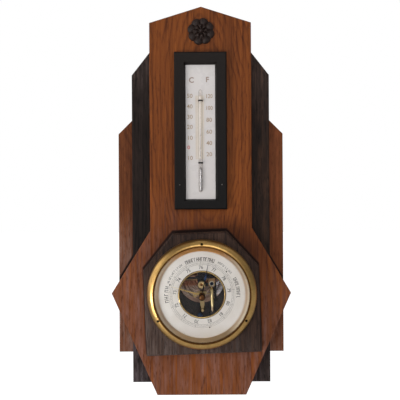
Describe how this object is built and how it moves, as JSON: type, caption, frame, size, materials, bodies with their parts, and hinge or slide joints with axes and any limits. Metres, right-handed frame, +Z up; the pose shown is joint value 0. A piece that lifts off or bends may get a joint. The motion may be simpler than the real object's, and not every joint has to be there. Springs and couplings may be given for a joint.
{
  "type": "wall barometer",
  "caption": "Wall barometer: round brass aneroid movement on a dark block, with a glass-tube thermometer, on three stepped wooden boards.",
  "frame": {"origin": "centre of the round hole of the hanging keyhole, on the wall plane", "axes": "+X to the right seen from the front, +Y into the wall, +Z up"},
  "size_m": [0.208, 0.0743, 0.45],
  "materials": {
    "light_oak": "satin",
    "dark_oak": "satin",
    "black_wood": "satin",
    "carved_wood": "satin",
    "polished_brass": "polished",
    "movement_brass": "satin",
    "tan_brass": "satin",
    "copper_skin": "satin",
    "steel": "satin",
    "blued_steel": "polished",
    "black_metal": "satin",
    "black_cast": "satin",
    "clear_glass": "clear",
    "tube_glass": "clear",
    "white_glass": "gloss",
    "mercury": "liquid",
    "dial_white": "satin",
    "knob_brown": "gloss"
  },
  "bodies": {
    "frame": {"back_board": "light_oak", "middle_board": "dark_oak", "front_board": "light_oak", "board_screws": "steel", "hanger_plate": "movement_brass", "hanger_screws": "steel", "dial_block": "dark_oak", "rosette": "carved_wood", "thermometer_frame": "black_wood", "frame_pins": "steel", "scale_plate": "white_glass", "thermometer_tube": "tube_glass", "mercury": "mercury", "tube_clips": "black_metal", "case": "movement_brass", "case_screws": "movement_brass", "bezel": "polished_brass", "bezel_screws": "steel", "dial_glass": "clear_glass", "sight_ring": "polished_brass", "dial": "dial_white", "opening_rim": "polished_brass", "dial_pillars": "movement_brass", "dial_pins": "movement_brass", "base_plate": "black_metal", "base_spacers": "movement_brass", "base_screws": "blued_steel", "front_diaphragm": "copper_skin", "rear_diaphragm": "copper_skin", "bridge": "black_cast", "bridge_screws": "steel", "spring_clamp": "tan_brass", "clamp_screws": "blued_steel", "mainspring": "black_metal", "pivot_lug": "tan_brass", "lug_washer": "steel", "lug_screw": "blued_steel", "pivot_post": "black_metal", "chain": "movement_brass", "arbor_cock": "movement_brass", "cock_pillar": "movement_brass", "rear_cock": "movement_brass", "cock_screw": "movement_brass", "hairspring": "steel", "hairspring_stud": "movement_brass", "set_washer": "polished_brass"},
    "pointer_and_arbor": {"arbor": "movement_brass", "pointer": "blued_steel"},
    "rocking_shaft": {"rocking_shaft": "movement_brass"},
    "main_lever": {"main_lever": "black_metal", "lever_boss": "movement_brass", "link": "steel"},
    "capsule_post": {"capsule_post": "movement_brass"},
    "set_hand": {"set_hand": "polished_brass", "set_spindle": "knob_brown"},
    "adjusting_screw": {"adjusting_screw": "movement_brass"}
  },
  "joints": [
    {"name": "pointer_turn", "type": "hinge", "parent": "frame", "child": "pointer_and_arbor", "pos_m": [0.0006, -0.051, -0.2059], "axis": [0, 1, 0], "range_deg": [-165, 138], "stiffness_Nm_per_rad": 0.002, "deforming": ["hairspring"]},
    {"name": "rocking", "type": "hinge", "parent": "frame", "child": "rocking_shaft", "pos_m": [0.01199, -0.0445, -0.2055], "axis": [-0.0349, 0, 0.9994], "range_deg": [-25.5, 21.5], "deforming": ["chain"]},
    {"name": "lever_swing", "type": "hinge", "parent": "frame", "child": "main_lever", "pos_m": [0, -0.0395, -0.18871], "axis": [0.9994, 0, 0.0349], "range_deg": [-4.2, 3.5], "deforming": ["mainspring"]},
    {"name": "post_lift", "type": "slide", "parent": "frame", "child": "capsule_post", "axis": [0, 1, 0], "range_m": [-0.0003, 0.0003], "deforming": ["front_diaphragm"]},
    {"name": "set_hand_turn", "type": "hinge", "parent": "frame", "child": "set_hand", "pos_m": [0.0006, -0.057, -0.2059], "axis": [0, 1, 0], "continuous": true},
    {"name": "adjuster_turn", "type": "hinge", "parent": "frame", "child": "adjusting_screw", "pos_m": [0.00011, -0.023, -0.19191], "axis": [0, 1, 0], "range_deg": [-180, 180]}
  ],
  "couplings": [
    {"joint": "rocking", "follows": "pointer_turn", "ratio": 0.15333},
    {"joint": "lever_swing", "follows": "pointer_turn", "ratio": 0.024711},
    {"joint": "post_lift", "follows": "pointer_turn", "m_per_rad": 0.00007907}
  ]
}
